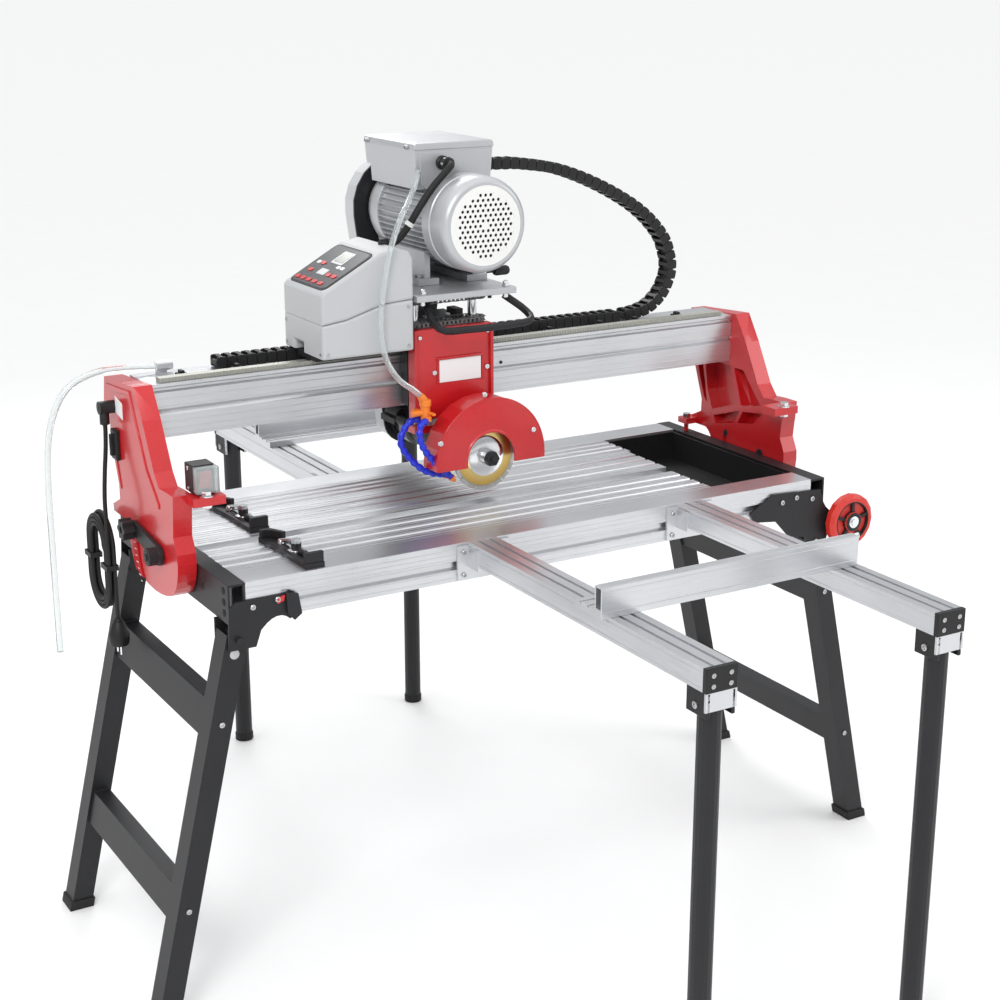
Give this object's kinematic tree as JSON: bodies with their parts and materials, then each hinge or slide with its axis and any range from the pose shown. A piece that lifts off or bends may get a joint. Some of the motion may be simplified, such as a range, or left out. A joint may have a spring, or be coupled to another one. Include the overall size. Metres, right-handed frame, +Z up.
{
  "type": "wet tile saw",
  "caption": "Wet tile saw: motor head on a carriage that runs along a tilting bridge beam, over an aluminium table with folding legs and extension arms.",
  "frame": {"origin": "on the floor under the middle of the saw, without its cord and hose tail", "axes": "+Z up, +X along the bridge beam towards the transport wheels, +Y to the back"},
  "size_m": [1.6022, 1.773, 1.441],
  "materials": {
    "aluminium": "extruded and brushed",
    "black_steel": "black powder coat",
    "black_plastic": "moulded",
    "red_paint": "gloss red paint over casting",
    "red_plastic": "moulded",
    "grey_plastic": "fine textured moulding",
    "grey_paint": "satin silver-grey paint",
    "steel": "ground and polished",
    "blade_metal": "gold-tinted core with a silver rim",
    "rubber": "matt black",
    "red_wheel": "red polyurethane tread",
    "blue_plastic": "moulded segments",
    "clear": "clear soft tube"
  },
  "bodies": {
    "table": {"front_beam": "aluminium", "rear_beam": "aluminium", "left_end_plate": "black_steel", "right_end_plate": "black_steel", "table_planks": "aluminium", "water_tray": "black_plastic", "tilt_link_left": "black_steel", "tilt_link_right": "black_steel"},
    "left_legs": {"left_leg_frame": "black_steel"},
    "right_legs": {"right_leg_frame": "black_steel"},
    "front_wheel": {"wheel_front": "red_wheel"},
    "rear_wheel": {"wheel_rear": "red_wheel"},
    "left_tilt_knob": {"tilt_knob_left": "black_plastic"},
    "right_tilt_knob": {"tilt_knob_right": "black_plastic"},
    "front_left_arm": {"front_left_arm": "aluminium"},
    "front_right_arm": {"front_right_arm": "aluminium"},
    "rear_left_arm": {"rear_left_arm": "aluminium"},
    "rear_right_arm": {"rear_right_arm": "aluminium"},
    "front_left_arm_leg": {"front_left_arm_leg": "black_steel"},
    "front_right_arm_leg": {"front_right_arm_leg": "black_steel"},
    "rear_left_arm_leg": {"rear_left_arm_leg": "black_steel"},
    "rear_right_arm_leg": {"rear_right_arm_leg": "black_steel"},
    "front_fence": {"front_fence": "aluminium"},
    "rear_fence": {"rear_fence": "aluminium"},
    "front_left_lever": {"front_lever_left": "steel"},
    "front_right_lever": {"front_lever_right": "steel"},
    "rear_lever": {"rear_lever": "steel"},
    "front_stop": {"angle_stop_front": "black_steel"},
    "rear_stop": {"angle_stop_rear": "black_steel"},
    "gantry": {"gantry_bracket_left": "red_paint", "gantry_bracket_right": "red_paint", "bridge_beam": "aluminium", "chain_run": "black_plastic", "breaker_box": "black_plastic", "cord_gland": "black_plastic", "power_cord": "rubber", "cord_hank": "rubber", "plug": "black_plastic", "hose_tail": "clear"},
    "breaker_rocker": {"breaker_rocker": "red_plastic"},
    "breaker_cover": {"breaker_cover": "clear"},
    "carriage": {"carriage_body": "black_steel", "control_box_base": "grey_plastic", "control_box_top": "grey_plastic"},
    "head": {"motor_plate": "grey_paint", "push_handle": "black_steel", "head_column": "red_paint", "spindle_housing": "black_steel", "blade_guard": "red_paint", "coolant_nozzles": "blue_plastic", "water_hose": "clear", "motor_body": "grey_paint", "fan_cover": "grey_paint", "junction_box": "grey_paint", "belt_cover": "grey_paint", "drive_belt": "rubber", "energy_chain_loop": "black_plastic"},
    "rotor": {"motor_rotor": "steel"},
    "spindle": {"arbor": "steel", "blade": "blade_metal"}
  },
  "joints": [
    {"name": "gantry_tilt", "type": "hinge", "parent": "table", "child": "gantry", "pos_m": [0, 0.0135, 0.78], "axis": [1, 0, 0], "range_deg": [0, 45]},
    {"name": "left_tilt_knob_turn", "type": "hinge", "parent": "table", "child": "left_tilt_knob", "pos_m": [-0.688, 0.13005, 0.79846], "axis": [1, 0, 0], "range_deg": [0, 180]},
    {"name": "right_tilt_knob_turn", "type": "hinge", "parent": "table", "child": "right_tilt_knob", "pos_m": [0.688, 0.13005, 0.79846], "axis": [1, 0, 0], "range_deg": [0, 180]},
    {"name": "carriage_travel", "type": "slide", "parent": "gantry", "child": "carriage", "axis": [1, 0, 0], "range_m": [-0.4, 0.4], "deforming": ["energy_chain_loop"]},
    {"name": "head_plunge", "type": "slide", "parent": "carriage", "child": "head", "axis": [0, 0, 1], "range_m": [-0.04, 0.015], "deforming": ["energy_chain_loop"]},
    {"name": "rotor_spin", "type": "hinge", "parent": "head", "child": "rotor", "pos_m": [-0.025, 0.0685, 1.3], "axis": [0, 1, 0], "continuous": true},
    {"name": "blade_spin", "type": "hinge", "parent": "head", "child": "spindle", "pos_m": [-0.025, 0.0685, 0.868], "axis": [0, 1, 0], "continuous": true},
    {"name": "left_legs_fold", "type": "hinge", "parent": "table", "child": "left_legs", "pos_m": [-0.61724, 0.0685, 0.683], "axis": [0, -1, 0], "range_deg": [0, 103.2]},
    {"name": "right_legs_fold", "type": "hinge", "parent": "table", "child": "right_legs", "pos_m": [0.62694, 0.0685, 0.641], "axis": [0, 1, 0], "range_deg": [0, 102]},
    {"name": "front_wheel_spin", "type": "hinge", "parent": "table", "child": "front_wheel", "pos_m": [0.685, -0.2125, 0.688], "axis": [0, 1, 0], "continuous": true},
    {"name": "rear_wheel_spin", "type": "hinge", "parent": "table", "child": "rear_wheel", "pos_m": [0.685, 0.3495, 0.688], "axis": [0, 1, 0], "continuous": true},
    {"name": "front_left_arm_slide", "type": "slide", "parent": "table", "child": "front_left_arm", "axis": [1, 0, 0], "range_m": [-0.3, 0.15]},
    {"name": "front_right_arm_slide", "type": "slide", "parent": "table", "child": "front_right_arm", "axis": [1, 0, 0], "range_m": [-0.15, 0.08]},
    {"name": "rear_left_arm_slide", "type": "slide", "parent": "table", "child": "rear_left_arm", "axis": [1, 0, 0], "range_m": [-0.25, 0.15]},
    {"name": "rear_right_arm_slide", "type": "slide", "parent": "table", "child": "rear_right_arm", "axis": [1, 0, 0], "range_m": [-0.15, 0.12]},
    {"name": "front_left_leg_fold", "type": "hinge", "parent": "front_left_arm", "child": "front_left_arm_leg", "pos_m": [-0.1485, -0.8595, 0.716], "axis": [1, 0, 0], "range_deg": [0, 75]},
    {"name": "front_right_leg_fold", "type": "hinge", "parent": "front_right_arm", "child": "front_right_arm_leg", "pos_m": [0.3025, -0.8595, 0.716], "axis": [1, 0, 0], "range_deg": [0, 75]},
    {"name": "rear_left_leg_fold", "type": "hinge", "parent": "rear_left_arm", "child": "rear_left_arm_leg", "pos_m": [-0.191, 0.8595, 0.716], "axis": [-1, 0, 0], "range_deg": [0, 75]},
    {"name": "rear_right_leg_fold", "type": "hinge", "parent": "rear_right_arm", "child": "rear_right_arm_leg", "pos_m": [0.259, 0.8595, 0.716], "axis": [-1, 0, 0], "range_deg": [0, 75]},
    {"name": "front_fence_slide", "type": "slide", "parent": "front_left_arm", "child": "front_fence", "axis": [0, 1, 0], "range_m": [-0.2, 0.34]},
    {"name": "rear_fence_slide", "type": "slide", "parent": "rear_left_arm", "child": "rear_fence", "axis": [0, 1, 0], "range_m": [-0.18, 0.2]},
    {"name": "front_left_lever_turn", "type": "hinge", "parent": "front_fence", "child": "front_left_lever", "pos_m": [-0.1485, -0.5885, 0.805], "axis": [0, 0, 1], "range_deg": [0, 90]},
    {"name": "front_right_lever_turn", "type": "hinge", "parent": "front_fence", "child": "front_right_lever", "pos_m": [0.3025, -0.5885, 0.805], "axis": [0, 0, 1], "range_deg": [0, 90]},
    {"name": "rear_lever_turn", "type": "hinge", "parent": "rear_fence", "child": "rear_lever", "pos_m": [0.259, 0.5985, 0.805], "axis": [0, 0, -1], "range_deg": [0, 90]},
    {"name": "front_stop_slide", "type": "slide", "parent": "table", "child": "front_stop", "axis": [1, 0, 0], "range_m": [-0.08, 0.3]},
    {"name": "rear_stop_slide", "type": "slide", "parent": "table", "child": "rear_stop", "axis": [1, 0, 0], "range_m": [-0.08, 0.3]},
    {"name": "breaker_rocker_tilt", "type": "hinge", "parent": "gantry", "child": "breaker_rocker", "pos_m": [-0.6137, -0.0685, 0.928], "axis": [1, 0, 0], "range_deg": [-7, 7]},
    {"name": "breaker_cover_open", "type": "hinge", "parent": "gantry", "child": "breaker_cover", "pos_m": [-0.6137, -0.0638, 0.95], "axis": [-1, 0, 0], "range_deg": [0, 95]}
  ],
  "couplings": [
    {"joint": "blade_spin", "follows": "rotor_spin", "ratio": 1.4167}
  ]
}
